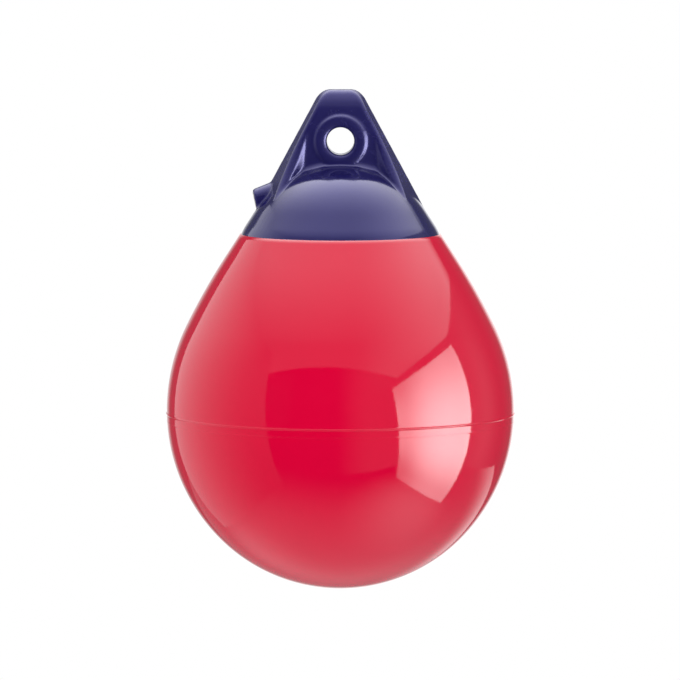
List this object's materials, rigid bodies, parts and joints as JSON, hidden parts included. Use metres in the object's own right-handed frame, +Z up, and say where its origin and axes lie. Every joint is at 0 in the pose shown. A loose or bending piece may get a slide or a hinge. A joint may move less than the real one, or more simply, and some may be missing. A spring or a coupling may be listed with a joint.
{
  "type": "inflatable mooring buoy",
  "caption": "Teardrop inflatable vinyl mooring buoy with a moulded rope hold, one round rope eye and a screw-plug air valve.",
  "frame": {"origin": "centre of the rope eye, where the buoy is held", "axes": "+Z up along the buoy's axis, Y along the rope eye's bore, the valve on the -X side"},
  "size_m": [0.204, 0.204, 0.2921],
  "materials": {
    "bladder_vinyl": "glossy red moulded vinyl",
    "rope_hold_vinyl": "satin deep blue moulded vinyl",
    "valve_nylon": "natural white nylon",
    "seal_rubber": "matt black rubber"
  },
  "bodies": {
    "buoy": {"body_skin": "bladder_vinyl", "rope_hold": "rope_hold_vinyl", "valve_insert": "valve_nylon"},
    "seal": {"valve_seal": "seal_rubber"},
    "plug": {"valve_plug": "valve_nylon"}
  },
  "joints": [
    {"name": "plug_travel", "type": "slide", "parent": "buoy", "child": "seal", "axis": [-0.9781, 0, -0.2079], "range_m": [0, 0.01]},
    {"name": "plug_turn", "type": "hinge", "parent": "seal", "child": "plug", "pos_m": [-0.05027, 0, -0.0347], "axis": [-0.9781, 0, -0.2079], "range_deg": [0, 1800]}
  ],
  "couplings": [
    {"joint": "plug_turn", "follows": "plug_travel", "rad_per_m": 3141.6}
  ]
}
